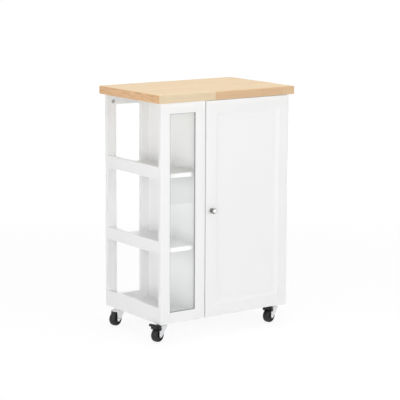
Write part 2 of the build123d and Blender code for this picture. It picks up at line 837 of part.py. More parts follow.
# Axle bolt with a domed head and a nut
axle_head_radius = 5.5
axle_head_height = 3.0
with BuildPart() as axle_bolt:
    cross_rod((-wheel_trail, axle_height), axle_radius, leg_outer)
    head_start = (-wheel_trail, -leg_outer, axle_height)
    rod(head_start, (0, -1, 0), axle_head_radius, axle_head_height)
    fillet(edges().group_by(Axis.Y)[0], axle_head_height / 2)
    with BuildSketch(Plane(origin=(-wheel_trail, leg_outer, axle_height), z_dir=(0, 1, 0))):
        RegularPolygon(axle_head_radius, 6)
    extrude(amount=axle_head_height)

# Wheel: one moulding with a narrow flat tread, round shoulders, recessed sides and a hub
hub_radius = 8.0
hub_half_width = 14.5
hub_draft = 0.6
web_half_width = 9.5
rim_inner_radius = 18.6
rim_draft = 0.8
tread_half_width = 4.5
shoulder_drop = 5.6
shoulder_width = wheel_half_width - tread_half_width
shoulder_radius = (shoulder_drop**2 + shoulder_width**2) / (2 * shoulder_drop)
axle_middle = (-wheel_trail, 0, axle_height)
with BuildPart() as wheel_moulding:
    with BuildSketch(Plane(origin=axle_middle, x_dir=(1, 0, 0), z_dir=(0, 0, 1))):
        with BuildLine():
            Polyline(
                (axle_radius + running_clearance, 0),
                (axle_radius + running_clearance, hub_half_width),
                (hub_radius, hub_half_width),
                (hub_radius + hub_draft, web_half_width),
                (rim_inner_radius, web_half_width),
                (rim_inner_radius + rim_draft, wheel_half_width),
                (wheel_radius - shoulder_drop, wheel_half_width),
            )
            RadiusArc(
                (wheel_radius - shoulder_drop, wheel_half_width),
                (wheel_radius, tread_half_width),
                shoulder_radius,
            )
            Line((wheel_radius, tread_half_width), (wheel_radius, 0))
            mirror(about=Plane.XZ)
        make_face()
    revolve(axis=Axis(axle_middle, (0, 1, 0)))

# Foot pedal: a hood that arches over the wheel and runs out to a thin toe, a shoe that meets
# the tread when the pedal is pressed, and two cheeks outside the legs
pedal_half_width = 18.5
pedal_thickness = 3.2
toe_centre = (-42.5, 42.4)
toe_radius = 26.0
toe_end_angle = 122.5
toe_edge = 1.4
toe_plan_radius = 12.5
hood_rise = (-36.2, 67.3)
hood_end = (-30.0, 64.4)
boss_radius = 4.0
boss_half_width = 14.3
cheek_inner = 17.5
cheek_outer = 19.7
cheek_end = (-28.0, 50.0)
cheek_end_radius = 6.3
leg_clear_x = -29.2
shoe_back_x = -39.0
shoe_bottom = 47.0
shoe_top = 62.0
shoe_gap = 0.35
rib_angles = (98.0, 104.0, 110.0)
rib_radius = 0.8
rib_half_length = 12.0
press = radians(brake_press_angle)


def on_toe(angle):
    """A point of the toe's round top, at an angle from the horizontal."""
    turn = radians(angle)
    return (toe_centre[0] + toe_radius * cos(turn), toe_centre[1] + toe_radius * sin(turn))


def lowered(point):
    """The point of the hood's underside below a point of its top."""
    return (point[0] - 0.6, point[1] - pedal_thickness)


# The wheel's middle as the pedal sees it when it is pressed down
across = axle_middle[0] - brake_pivot[0]
down = axle_middle[2] - brake_pivot[1]
pressed_wheel = (
    brake_pivot[0] + across * cos(press) + down * sin(press),
    brake_pivot[1] - across * sin(press) + down * cos(press),
)
toe_tip = on_toe(toe_end_angle)
toe_start = on_toe(90.0)
with BuildPart() as foot_pedal:
    with BuildSketch(side_view):
        with BuildLine():
            CenterArc(toe_centre, toe_radius, 90.0, toe_end_angle - 90.0)
            Polyline(toe_tip, (toe_tip[0], toe_tip[1] - toe_edge), lowered(toe_start))
            ThreePointArc(lowered(toe_start), lowered(hood_rise), lowered(hood_end))
            Line(lowered(hood_end), hood_end)
            ThreePointArc(hood_end, hood_rise, toe_start)
        make_face()
    extrude(amount=pedal_half_width, both=True)
    with BuildSketch(Plane.XY):
        toe_to_end = hood_end[0] - toe_tip[0]
        with Locations((toe_tip[0] + toe_to_end, 0)):
            RectangleRounded(2 * toe_to_end, 2 * pedal_half_width, toe_plan_radius)
    extrude(amount=caster_height, mode=Mode.INTERSECT)
    # Arm between the legs, from the hood to the pin
    with BuildSketch(side_view):
        with Locations(brake_pivot):
            Circle(boss_radius)
        with Locations((hood_end[0] - 1.0, hood_end[1] - pedal_thickness / 2 - 0.2)):
            Circle(pedal_thickness / 2)
        make_hull()
    extrude(amount=boss_half_width, both=True)
    block((shoe_back_x, -boss_half_width, shoe_bottom), (leg_clear_x, boss_half_width, shoe_top))
    for side in (-1, 1):
        with BuildSketch(side_view.offset(side * (cheek_inner + cheek_outer) / 2)):
            with Locations(cheek_end):
                Circle(cheek_end_radius)
            with Locations(brake_pivot):
                Circle(boss_radius)
            with Locations((hood_rise[0], hood_rise[1] - pedal_thickness)):
                Circle(pedal_thickness / 2)
            make_hull()
        extrude(amount=(cheek_outer - cheek_inner) / 2, both=True)
    for angle in rib_angles:
        cross_rod(on_toe(angle), rib_radius, rib_half_length)
    cross_rod(pressed_wheel, wheel_radius + shoe_gap, leg_inner, mode=Mode.SUBTRACT)
    pin_bore = brake_pin_radius + running_clearance
    cross_rod(brake_pivot, pin_bore, through_half, mode=Mode.SUBTRACT)

# Pin that is fixed in the fork's legs and carries the pedal
brake_pin_half = 20.3
with BuildPart() as pedal_pin:
    cross_rod(brake_pivot, brake_pin_radius, brake_pin_half)

# Each corner gets its own swivelling pieces, turned about the kingpin
for corner, (x, y) in caster_places.items():
    pieces = {"caster_axle": axle_bolt, "caster_wheel": wheel_moulding}
    if corner in braked:
        pieces["caster_fork"] = braked_fork
        pieces["brake_pedal"] = foot_pedal
        pieces["brake_pin"] = pedal_pin
    else:
        pieces["caster_fork"] = plain_fork
    for name, piece in pieces.items():
        with BuildPart() as turned_piece:
            with Locations(Location((x, y, 0), (0, 0, caster_turn))):
                add(piece.part)
        save(turned_piece, f"{name}_{corner}")
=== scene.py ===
from math import pi, radians

import bmesh
import bpy
from mathutils import Matrix, Vector


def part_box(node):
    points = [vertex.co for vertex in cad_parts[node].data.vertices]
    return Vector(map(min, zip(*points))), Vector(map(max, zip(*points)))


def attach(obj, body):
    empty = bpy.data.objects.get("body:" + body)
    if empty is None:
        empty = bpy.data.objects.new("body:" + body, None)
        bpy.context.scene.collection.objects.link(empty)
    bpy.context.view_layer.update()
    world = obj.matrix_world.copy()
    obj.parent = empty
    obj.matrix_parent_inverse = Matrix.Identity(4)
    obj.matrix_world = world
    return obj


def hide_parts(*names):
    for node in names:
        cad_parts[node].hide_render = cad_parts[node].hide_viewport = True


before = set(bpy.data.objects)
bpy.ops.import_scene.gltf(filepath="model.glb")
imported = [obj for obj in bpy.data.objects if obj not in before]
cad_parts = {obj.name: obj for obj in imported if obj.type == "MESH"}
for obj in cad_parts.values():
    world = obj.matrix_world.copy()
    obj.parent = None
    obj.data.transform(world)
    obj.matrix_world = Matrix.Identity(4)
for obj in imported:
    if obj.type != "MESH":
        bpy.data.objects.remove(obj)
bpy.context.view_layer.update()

# Boards: the face frames, panels, shelves, guard rails and door are fibreboard, cut, eased at
# the arrises and sprayed with white satin lacquer. The film has a faint orange peel, and it is
# thinnest on the arrises, where hands and knocks rub it and a little grime stays.


class Signal:
    """A number that a tree works out. Sums on it add the Math nodes that do the sum."""

    def __init__(self, tree, socket):
        self.tree = tree
        self.socket = socket

    def math(self, operation, *terms):
        node = self.tree.nodes.new("ShaderNodeMath")
        node.operation = operation
        for entry, value in zip(node.inputs, terms):
            if isinstance(value, Signal):
                self.tree.links.new(value.socket, entry)
            else:
                entry.default_value = value
        return Signal(self.tree, node.outputs[0])

    def __add__(self, other):
        return self.math("ADD", self, other)

    def __sub__(self, other):
        return self.math("SUBTRACT", self, other)

    def __mul__(self, other):
        return self.math("MULTIPLY", self, other)

    def __truediv__(self, other):
        return self.math("DIVIDE", self, other)

    def __rsub__(self, other):
        return self.math("SUBTRACT", other, self)

    __radd__ = __add__
    __rmul__ = __mul__

    def floor(self):
        return self.math("FLOOR", self)

    def fract(self):
        return self.math("FRACT", self)

    def size(self):
        return self.math("ABSOLUTE", self)

    def lower(self, other):
        return self.math("MINIMUM", self, other)

    def higher(self, other):
        return self.math("MAXIMUM", self, other)

    def wave(self):
        return self.math("SINE", self)

    def root(self):
        return self.math("SQRT", self)


class Nodes:
    """A node tree being wired, with one way to add a node and one to fill its sockets."""

    def __init__(self, tree):
        self.tree = tree

    def add(self, kind, settings=None, output=0, **sockets):
        """Add a node, set it up, then give its sockets values or links."""
        node = self.tree.nodes.new(kind)
        for setting, value in (settings or {}).items():
            if setting == "stops":
                while len(node.color_ramp.elements) < len(value):
                    node.color_ramp.elements.new(0.5)
                for stop, (place, shade) in zip(node.color_ramp.elements, value):
                    stop.position = place
                    stop.color = (*shade, 1.0)
            else:
                setattr(node, setting, value)
        self.link(node, **sockets)
        return Signal(self.tree, node.outputs[output])

    def link(self, node, **sockets):
        """Fill sockets by name, or by number where names repeat. A list goes into one socket."""
        for socket, value in sockets.items():
            by_number = socket[1:].isdigit()
            entry = node.inputs[int(socket[1:]) if by_number else socket.replace("_", " ")]
            for each in value if isinstance(value, list) else [value]:
                if isinstance(each, Signal):
                    self.tree.links.new(each.socket, entry)
                else:
                    entry.default_value = each


class Finish(Nodes):
    """A finish being mixed: a material and its surface shader."""

    def __init__(self, name, **surface):
        self.material = bpy.data.materials.new(name)
        self.material.use_nodes = True
        super().__init__(self.material.node_tree)
        self.surface = self.tree.nodes["Principled BSDF"]
        self.link(self.surface, **surface)

    def split(self, vector):
        apart = self.tree.nodes.new("ShaderNodeSeparateXYZ")
        self.link(apart, Vector=vector)
        return [Signal(self.tree, out) for out in apart.outputs]

    def place(self):
        """The point on the piece, in metres, and its three coordinates."""
        point = self.add("ShaderNodeTexCoord", output="Object")
        return point, self.split(point)

    def facing(self):
        """How squarely the surface faces along each axis, from 0 to 1."""
        return [part.size() for part in self.split(self.add("ShaderNodeTexCoord", output="Normal"))]

    def join(self, x, y, z):
        return self.add("ShaderNodeCombineXYZ", X=x, Y=y, Z=z)

    def noise(self, point, scale, detail=2.0, stretch=(1.0, 1.0, 1.0)):
        """Soft noise between 0 and 1 at a scale per metre, drawn out along an axis by stretch."""
        drawn = self.add("ShaderNodeMapping", Vector=point, Scale=stretch)
        return self.add("ShaderNodeTexNoise", Vector=drawn, Scale=scale, Detail=detail)

    def ramp(self, value, low, high):
        """0 below low, 1 above high, and smooth between them."""
        smooth = {"interpolation_type": "SMOOTHSTEP"}
        return self.add("ShaderNodeMapRange", smooth, Value=value, From_Min=low, From_Max=high)

    def mix(self, share, first, second):
        """A colour between two colours."""
        colours = {"data_type": "RGBA"}
        return self.add("ShaderNodeMix", colours, output=2, _0=share, _6=first, _7=second)

    def shades(self, value, *stops):
        return self.add("ShaderNodeValToRGB", {"stops": stops}, Fac=value)

    def bump(self, height, depth):
        """Relief from a height between 0 and 1, as deep as depth in metres."""
        relief = self.add("ShaderNodeBump", Height=height, Distance=depth, Strength=1.0)
        self.link(self.surface, Normal=relief)


def finish_nodes(material, *names):
    """Give CAD nodes their finish."""
    for name in names:
        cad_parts[name].data.materials[0] = material


lacquer_white = (0.905, 0.905, 0.905, 1.0)
lacquer_thick = (0.925, 0.925, 0.925, 1.0)
rubbed_shade = (0.72, 0.71, 0.69, 1.0)
rubbed_reach = (0.0002, 0.0016)
peel_scale = 260.0
peel_depth = 0.000008
board_names = [f"{side}_{member}" for side in ("front", "back")
               for member in ("stile_left", "stile_right", "rail_top", "rail_bottom")]
board_names += [f"{piece}_{level}" for piece in ("column_shelf", "guard_rail")
                for level in ("top", "middle", "bottom")]
board_names += ["divider_panel", "right_side_panel", "cupboard_back", "cupboard_floor",
                "cupboard_shelf", "stretcher_front", "stretcher_back", "door_panel"]
for name in board_names:
    low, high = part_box(name)
    lacquer = Finish("white_lacquer_" + name, IOR=1.5)
    point, coordinates = lacquer.place()
    inset = [
        (high[i] - low[i]) / 2 - (coordinates[i] - (high[i] + low[i]) / 2).size() for i in range(3)
    ]
    # The second smallest of the three distances to a face is the distance to the nearest arris
    nearest = inset[0].lower(inset[1])
    farther = inset[0].higher(inset[1])
    to_arris = nearest.higher(farther.lower(inset[2]))
    cloud = lacquer.noise(point, 5.0, 2.0)
    peel = lacquer.noise(point, peel_scale, 1.0)
    knocks = lacquer.ramp(lacquer.noise(point, 55.0, 4.0), 0.42, 0.78)
    rubbed = (1 - lacquer.ramp(to_arris, *rubbed_reach)) * knocks
    white = lacquer.mix(cloud, lacquer_white, lacquer_thick)
    white = lacquer.mix(rubbed * 0.45, white, rubbed_shade)
    lacquer.link(
        lacquer.surface, Base_Color=white, Roughness=0.33 + 0.07 * cloud + 0.16 * rubbed
    )
    lacquer.bump(peel, peel_depth)
    finish_nodes(lacquer.material, name)

# Dowels: turned beech pegs, glued half into each of the two boards that they line up. They
# show only where a joint is pulled open.
beech = Finish("turned_beech", Roughness=0.6)
point, _ = beech.place()
beech_fibre = beech.noise(point, 300.0, 4.0)
beech.link(
    beech.surface,
    Base_Color=beech.mix(beech_fibre, (0.60, 0.40, 0.23, 1.0), (0.72, 0.52, 0.32, 1.0)),
)
beech.bump(beech_fibre, 0.00003)
finish_nodes(beech.material, "wood_dowels")

# Knock-down fittings: die-cast cam locks let into the boards, the bolts that they draw tight,
# the screws that hold the column shelves, and the pins that the cupboard shelf rests on. All
# are zinc-plated, with a fine grain and a little haze.


def plated(name, shade, roughness, grain_stretch=(1.0, 1.0, 1.0), haze=0.10):
    """Plated metal, with a fine grain that may run along one way."""
    metal = Finish(name, Metallic=1.0)
    point, _ = metal.place()
    grain = metal.noise(point, 900.0, 2.0, grain_stretch)
    patches = metal.noise(point, 90.0, 3.0)
    darker = tuple(0.78 * part for part in shade)
    metal.link(
        metal.surface,
        Base_Color=metal.mix(patches * 0.6 + grain * 0.3, (*shade, 1.0), (*darker, 1.0)),
        Roughness=roughness + haze * patches + haze * grain,
    )
    metal.bump(grain, 0.000008)
    return metal.material


bright_zinc = plated("bright_zinc", (0.80, 0.81, 0.82), 0.22)
cast_zinc = plated("cast_zinc", (0.58, 0.575, 0.57), 0.42)
finish_nodes(bright_zinc, "cam_bolts", "shelf_screws", "shelf_pins")
finish_nodes(cast_zinc, "cam_locks")

# Pane: a clear sheet with polished faces, laid into the rebate of the front frame from behind
# and held by bent zinc clips. A grey rubber strip lines the opening in front of it.
clear = Finish(
    "clear_pane", Base_Color=(0.99, 1.0, 0.995, 1.0), Transmission_Weight=1.0, IOR=1.47
)
point, _ = clear.place()
clear.link(clear.surface, Roughness=0.01 * clear.noise(point, 14.0, 3.0))
# Lamps shine straight through the pane, with the little that its two faces throw back taken off
rays = clear.tree.nodes.new("ShaderNodeLightPath")
shadow_ray = Signal(clear.tree, rays.outputs["Is Shadow Ray"])
open_air = clear.add("ShaderNodeBsdfTransparent", Color=(0.93, 0.935, 0.93, 1.0))
glassy = Signal(clear.tree, clear.surface.outputs[0])
passing = clear.add("ShaderNodeMixShader", Fac=shadow_ray, _1=glassy, _2=open_air)
clear.link(clear.tree.nodes["Material Output"], Surface=passing)

# The sheet stands a tenth of a millimetre off the rebate and the clips, and its arrises are eased
sheet_gap = 0.0001
sheet_arris = 0.0003
pane_low, pane_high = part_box("window_pane")
pane_size = pane_high - pane_low - Vector((0, 2 * sheet_gap, 0))
sheet_mesh = bpy.data.meshes.new("clear_sheet")
sheet = bmesh.new()
bmesh.ops.create_cube(
    sheet, size=1.0,
    matrix=Matrix.Translation((pane_low + pane_high) / 2) @ Matrix.Diagonal((*pane_size, 1.0)),
)
bmesh.ops.bevel(sheet, geom=sheet.edges[:], offset=sheet_arris, segments=2, affect="EDGES")
sheet.to_mesh(sheet_mesh)
sheet.free()
clear_sheet = bpy.data.objects.new("clear_sheet", sheet_mesh)
bpy.context.scene.collection.objects.link(clear_sheet)
sheet_mesh.materials.append(clear.material)
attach(clear_sheet, "cart")
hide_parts("window_pane")
finish_nodes(bright_zinc, "pane_clips")


def rubbery(name, shade, worn_shade, roughness, scale):
    """A rubber or moulded finish with paler scuffs."""
    dark = Finish(name, IOR=1.4)
    point, _ = dark.place()
    scuff = dark.noise(point, scale, 4.0)
    dark.link(
        dark.surface,
        Base_Color=dark.mix(dark.ramp(scuff, 0.45, 0.8), (*shade, 1.0), (*worn_shade, 1.0)),
        Roughness=roughness + 0.2 * scuff,
    )
    dark.bump(scuff, 0.00003)
    return dark.material


class Making(Nodes):
    """A Geometry Nodes tree that makes a piece. Its sizes are named inputs, in metres."""

    def __init__(self, name, *size_names):
        super().__init__(bpy.data.node_groups.new(name, "GeometryNodeTree"))
        self.name = name
        face = self.tree.interface
        face.new_socket("Geometry", in_out="INPUT", socket_type="NodeSocketGeometry")
        face.new_socket("Geometry", in_out="OUTPUT", socket_type="NodeSocketGeometry")
        self.keys = {
            size: face.new_socket(size, in_out="INPUT", socket_type="NodeSocketFloat").identifier
            for size in size_names
        }
        self.given = self.tree.nodes.new("NodeGroupInput")
        self.made = self.tree.nodes.new("NodeGroupOutput")

    def take(self, name):
        """A named input of the tree."""
        return Signal(self.tree, self.given.outputs[name])

    def end(self, geometry, material):
        """Close the tree: make everything real and give it its material."""
        real = self.add("GeometryNodeRealizeInstances", Geometry=geometry)
        coated = self.add("GeometryNodeSetMaterial", Geometry=real, Material=material)
        self.link(self.made, Geometry=coated)

    def make(self, name, base, sizes, crease=35):
        """Run the tree over a base mesh, and keep the result as a plain mesh."""
        piece = bpy.data.objects.new(name, base)
        bpy.context.scene.collection.objects.link(piece)
        modifier = piece.modifiers.new(self.name, "NODES")
        modifier.node_group = self.tree
        for size, value in sizes.items():
            modifier[self.keys[size]] = value
        evaluated = piece.evaluated_get(bpy.context.evaluated_depsgraph_get())
        mesh = bpy.data.meshes.new_from_object(evaluated)
        piece.modifiers.remove(modifier)
        piece.data = mesh
        mesh.shade_smooth()
        mesh.set_sharp_from_angle(angle=radians(crease))
        return piece


# The strip starts just behind the front of the face frame and ends at the pane
seal_setback = 0.0006
seal_thickness = 0.0014
seal_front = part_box("front_stile_left")[0].y + seal_setback
seal_depth = pane_low.y - seal_front
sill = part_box("front_rail_bottom")
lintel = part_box("front_rail_top")
left, right, bottom, top = lintel[0].x, lintel[1].x, sill[1].z, lintel[0].z
seal = Making("pane_seal_strip", "Width", "Height", "Thickness", "Depth")
path = seal.add(
    "GeometryNodeCurvePrimitiveQuadrilateral",
    Width=seal.take("Width") - seal.take("Thickness"),
    Height=seal.take("Height") - seal.take("Thickness"),
)
path = seal.add("GeometryNodeFilletCurve", {"mode": "POLY"}, Curve=path, Count=6, Radius=0.002)
section = seal.add(
    "GeometryNodeCurvePrimitiveQuadrilateral",
    Width=seal.take("Thickness"),
    Height=seal.take("Depth"),
)
section = seal.add(
    "GeometryNodeFilletCurve", {"mode": "POLY"}, Curve=section, Count=3, Radius=0.0004
)
strip = seal.add("GeometryNodeCurveToMesh", Curve=path, Profile_Curve=section)
middle = ((left + right) / 2, seal_front + seal_depth / 2, (bottom + top) / 2)
strip = seal.add(
    "GeometryNodeTransform", Geometry=strip, Rotation=(pi / 2, 0, 0), Translation=middle
)
seal_rubber = rubbery("grey_seal_rubber", (0.34, 0.34, 0.34), (0.42, 0.42, 0.42), 0.55, 200.0)
seal.end(strip, seal_rubber)
pane_seal = seal.make(
    "pane_seal",
    bpy.data.meshes.new("pane_seal_start"),
    {
        "Width": right - left,
        "Height": top - bottom,
        "Thickness": seal_thickness,
        "Depth": seal_depth,
    },
)
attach(pane_seal, "cart")

# Small screws: zinc-plated, with a low round head and a cross recess. They hold the pane clips,
# the hinges and the catch, and longer ones of the same kind hold the casters. Each is driven by
# hand, so no two recesses stand at the same angle.


def solids_in(node):
    """The corner points of each separate solid in a node, from a merged copy of its mesh."""
    copy = bmesh.new()
    copy.from_mesh(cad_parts[node].data)
    bmesh.ops.remove_doubles(copy, verts=copy.verts, dist=1e-6)
    copy.verts.index_update()
    reached = [False] * len(copy.verts)
    solids = []
    for first in copy.verts:
        if reached[first.index]:
            continue
        reached[first.index] = True
        waiting = [first]
        solid = []
        while waiting:
            corner = waiting.pop()
            solid.append(corner.co.copy())
            for edge in corner.link_edges:
                other = edge.other_vert(corner)
                if not reached[other.index]:
                    reached[other.index] = True
                    waiting.append(other)
        solids.append(solid)
    copy.free()
    return solids


def screw_seats(node, head_height):
    """Where each screw's head sits, and the way that the head faces."""
    seats = []
    for solid in solids_in(node):
        low = Vector([min(corner[i] for corner in solid) for i in range(3)])
        high = Vector([max(corner[i] for corner in solid) for i in range(3)])
        length = high - low
        way = max(range(3), key=lambda i: length[i])
        seat = (low + high) / 2
        across = [i for i in range(3) if i != way]
        rim = max(solid, key=lambda c: sum((c[i] - seat[i]) ** 2 for i in across))
        outward = Vector((0, 0, 0))
        outward[way] = 1.0 if rim[way] > seat[way] else -1.0
        seat[way] = (high if outward[way] > 0 else low)[way] - outward[way] * head_height
        seats.append((seat, outward))
    return seats


def marked_points(name, places):
    """A mesh of loose points, each with the way it faces."""
    mesh = bpy.data.meshes.new(name)
    mesh.from_pydata([place for place, _ in places], [], [])
    ways = mesh.attributes.new("outward", "FLOAT_VECTOR", "POINT")
    for entry, (_, outward) in zip(ways.data, places):
        entry.vector = outward
    return mesh


screws = Making("cross_head_screws", "Head Radius", "Head Height", "Shank Radius", "Shank Length")
head_radius = screws.take("Head Radius")
head_height = screws.take("Head Height")
shank_radius = screws.take("Shank Radius")
shank_length = screws.take("Shank Length")
dome = screws.add("GeometryNodeMeshUVSphere", Segments=32, Rings=24, Radius=1.0)
dome_reach = head_radius * 1.06
dome = screws.add(
    "GeometryNodeTransform", Geometry=dome, Scale=screws.add(
        "ShaderNodeCombineXYZ", X=dome_reach, Y=dome_reach, Z=head_height
    )
)
barrel = screws.add(
    "GeometryNodeMeshCylinder", Vertices=32, Radius=head_radius, Depth=head_height * 2
)
barrel = screws.add(
    "GeometryNodeTransform", Geometry=barrel,
    Translation=screws.add("ShaderNodeCombineXYZ", X=0.0, Y=0.0, Z=head_height),
)
head = screws.add("GeometryNodeMeshBoolean", {"operation": "INTERSECT"}, Mesh_2=[dome, barrel])
# The shares of a shank that its straight part and its point take, and where each has its middle
# or its wide end
straight_share, straight_middle = 0.75, -0.36
point_share, point_start = 0.265, -0.735
recess_long = head_radius * 1.15
recess_wide = head_radius * 0.30
recess = []
for x, y in ((recess_long, recess_wide), (recess_wide, recess_long)):
    size = screws.add("ShaderNodeCombineXYZ", X=x, Y=y, Z=head_height * 1.3)
    bar = screws.add("GeometryNodeMeshCube", Size=size)
    top = screws.add("ShaderNodeCombineXYZ", X=0.0, Y=0.0, Z=head_height)
    recess.append(screws.add("GeometryNodeTransform", Geometry=bar, Translation=top))
head = screws.add(
    "GeometryNodeMeshBoolean", {"operation": "DIFFERENCE"}, Mesh_1=head, Mesh_2=recess
)
shank = screws.add(
    "GeometryNodeMeshCylinder",
    Vertices=16, Radius=shank_radius, Depth=shank_length * straight_share,
)
shank = screws.add(
    "GeometryNodeTransform", Geometry=shank,
    Translation=screws.add("ShaderNodeCombineXYZ", X=0.0, Y=0.0, Z=shank_length * straight_middle),
)
point_end = screws.add(
    "GeometryNodeMeshCone",
    Vertices=16, Radius_Top=shank_radius * 0.08, Radius_Bottom=shank_radius,
    Depth=shank_length * point_share,
)
point_end = screws.add(
    "GeometryNodeTransform", Geometry=point_end, Rotation=(pi, 0, 0),
    Translation=screws.add("ShaderNodeCombineXYZ", X=0.0, Y=0.0, Z=shank_length * point_start),
)
one_screw = screws.add("GeometryNodeJoinGeometry", Geometry=[head, shank, point_end])
outward = screws.add(
    "GeometryNodeInputNamedAttribute", {"data_type": "FLOAT_VECTOR"}, Name="outward"
)
turned = screws.add("FunctionNodeAlignRotationToVector", {"axis": "Z"}, Vector=outward)
driven = screws.add(
    "GeometryNodeInstanceOnPoints",
    Points=screws.take("Geometry"), Instance=one_screw, Rotation=turned,
)
any_angle = screws.add(
    "FunctionNodeRandomValue", {"data_type": "FLOAT_VECTOR"},
    _0=(0, 0, 0), _1=(0, 0, pi), Seed=7,
)
driven = screws.add(
    "GeometryNodeRotateInstances", Instances=driven, Rotation=any_angle, Local_Space=True
)
screws.end(driven, bright_zinc)


def drive_screws(node, body, head_size, shank_size):
    """Put a made screw in the place of each plain one in a CAD node."""
    seats = screw_seats(node, head_size[1])
    made = screws.make(
        node + "_crossed",
        marked_points(node + "_seats", seats),
        {
            "Head Radius": head_size[0], "Head Height": head_size[1],
            "Shank Radius": shank_size[0], "Shank Length": shank_size[1],
        },
    )
    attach(made, body)
    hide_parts(node)


small_head = (0.0032, 0.0018)
small_shank = (0.0016, 0.010)
caster_head = (0.0036, 0.0022)
caster_shank = (0.0018, 0.014)
drive_screws("small_screws", "cart", small_head, small_shank)
drive_screws("door_screws", "door", small_head, small_shank)
drive_screws("caster_screws", "cart", caster_head, caster_shank)

# Worktop: a slab of pale rubberwood staves, butted end to end and glued edge to edge, then
# planed flush, sanded and oiled. The staves run along the cart. Their sawn ends drink more oil
# and turn darker, and the rings there lie in long waves.
stave_width = 0.040
stave_length = 0.306
front_joint = -0.059
row_shift = 0.618
ring_spacing = 0.0055
worktop_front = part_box("worktop")[0].y
worktop_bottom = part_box("worktop")[0].z
oiled = Finish("oiled_rubberwood", IOR=1.46, Coat_Roughness=0.3)
point, (x, y, z) = oiled.place()
along, across, up = oiled.facing()
row = ((y - worktop_front) / stave_width).floor()
run = (x - front_joint) / stave_length + row * row_shift
stave = run.floor()
tone = (0.9 + 0.85 * stave + 0.37 * row).fract()
top_share = oiled.ramp(up, 0.55, 0.85)
shown_tone = tone * (1 - 0.62 * top_share) + 0.12 * top_share

# Growth rings round a heart that lies outside each stave, and pores along the grain
moved = oiled.join(x + tone * 3.0, y + stave * 0.37, z)
wander = oiled.noise(moved, 7.0, 3.0, (0.30, 1.0, 1.0))
heart_y = worktop_front + stave_width * (row + (tone * 3.7).fract() * 1.6 - 0.3)
heart_z = worktop_bottom + 0.05 * (tone * 5.3).fract()
ring_y = y - heart_y
ring_z = z - heart_z
ring_radius = (ring_y * ring_y + ring_z * ring_z).root()
rings = (ring_radius * (2 * pi / ring_spacing) + wander * 16.0).wave() * 0.5 + 0.5
streaks = oiled.noise(moved, 120.0, 4.0, (0.03, 1.0, 1.0))
flecks = oiled.ramp(oiled.noise(moved, 900.0, 1.0, (0.06, 1.0, 1.0)), 0.60, 0.72)
# Stops paler than the wood, painted light that lifts the less lit sides
long_grain = oiled.shades(
    shown_tone + streaks * 0.50 - 0.25,
    (0.0, (0.97, 0.840, 0.590)),
    (0.35, (0.96, 0.780, 0.510)),
    (0.75, (0.90, 0.640, 0.385)),
    (1.0, (0.83, 0.545, 0.315)),
)
long_grain = oiled.mix(rings * 0.07, long_grain, (0.60, 0.38, 0.20, 1.0))
long_grain = oiled.mix(flecks * 0.14, long_grain, (0.45, 0.28, 0.14, 1.0))

# Painted light and shade: the stops above are paler than the wood so that the less lit sides come
# out lighter, and the top is tinted back to a darker amber. The underside is only planed
under_share = top_share * (1 - oiled.ramp(z, worktop_bottom + 0.001, worktop_bottom + 0.003))
# Painted shade: a darker amber tint on the top, balancing the paler stops
long_grain = oiled.mix(top_share * 0.38, long_grain, (0.80, 0.445, 0.12, 1.0))
long_grain = oiled.mix(under_share * 0.8, long_grain, (0.86, 0.81, 0.75, 1.0))

# On the sawn ends the rings cross the staves as long waves, bent a little by each stave
sag = oiled.noise(oiled.join(x, y, row * 0.7), 11.0, 2.0, (1.0, 1.0, 1.0))
end_height = z + 0.016 * sag + 0.010 * wander
end_bands = oiled.noise(oiled.join(row * 0.013, y * 0.045, end_height), 210.0, 3.0)
end_lines = oiled.noise(oiled.join(0.3, y * 0.03, end_height), 640.0, 2.0)
end_grain = oiled.shades(
    end_bands * 0.75 + end_lines * 0.35 - 0.05,
    (0.22, (0.88, 0.61, 0.36)),
    (0.45, (0.80, 0.50, 0.27)),
    (0.62, (0.68, 0.39, 0.19)),
    (0.80, (0.52, 0.27, 0.12)),
)
end_share = oiled.ramp(along, 0.55, 0.85)
wood = oiled.mix(end_share, long_grain, end_grain)
row_edge = (((y - worktop_front) / stave_width).fract() - 0.5).size()
run_edge = (run.fract() - 0.5).size()
glue_line = oiled.ramp(row_edge, 0.494, 0.498).higher(
    oiled.ramp(run_edge, 0.4990, 0.4996) * (1 - end_share)
)
wood = oiled.mix(glue_line * 0.35, wood, (0.40, 0.24, 0.12, 1.0))
oiled.link(
    oiled.surface,
    Base_Color=wood,
    Roughness=0.38 + 0.10 * streaks + 0.12 * flecks,
    Coat_Weight=0.12 - 0.08 * end_share,
)
oiled.bump(streaks * 0.35 + rings * 0.2 - flecks * 0.45 - glue_line * 0.5, 0.00005)
finish_nodes(oiled.material, "worktop")

# Casters: a pressed plate, a fork that turns on a ring of steel balls under it, and a black
# moulded wheel on an axle bolt. The front two have a black moulded foot brake. The steel is
# zinc-plated, and use scuffs the black a little paler.
black = (0.011, 0.011, 0.012)
scuffed_black = (0.042, 0.042, 0.044)
wheel_black = rubbery("scuffed_black", black, scuffed_black, 0.42, 240.0)
for corner in ("front_left", "front_right", "back_left", "back_right"):
    finish_nodes(wheel_black, "caster_wheel_" + corner)
    finish_nodes(bright_zinc, "caster_fork_" + corner, "caster_axle_" + corner)
for corner in ("front_left", "front_right"):
    finish_nodes(wheel_black, "brake_pedal_" + corner)
    finish_nodes(bright_zinc, "brake_pin_" + corner)
finish_nodes(bright_zinc, "caster_plates", "caster_kingpins")

ball_radius = 0.002
balls = Making("bearing_balls", "Radius")
ball = balls.add("GeometryNodeMeshIcoSphere", Subdivisions=3, Radius=balls.take("Radius"))
ring = balls.add("GeometryNodeInstanceOnPoints", Points=balls.take("Geometry"), Instance=ball)
balls.end(ring, bright_zinc)
ball_centres = [
    (sum(solid, Vector()) / len(solid), Vector((0, 0, 1))) for solid in solids_in("caster_balls")
]
ball_rings = balls.make(
    "caster_ball_rings",
    marked_points("ball_centres", ball_centres),
    {"Radius": ball_radius},
    crease=60,
)
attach(ball_rings, "cart")
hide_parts("caster_balls")

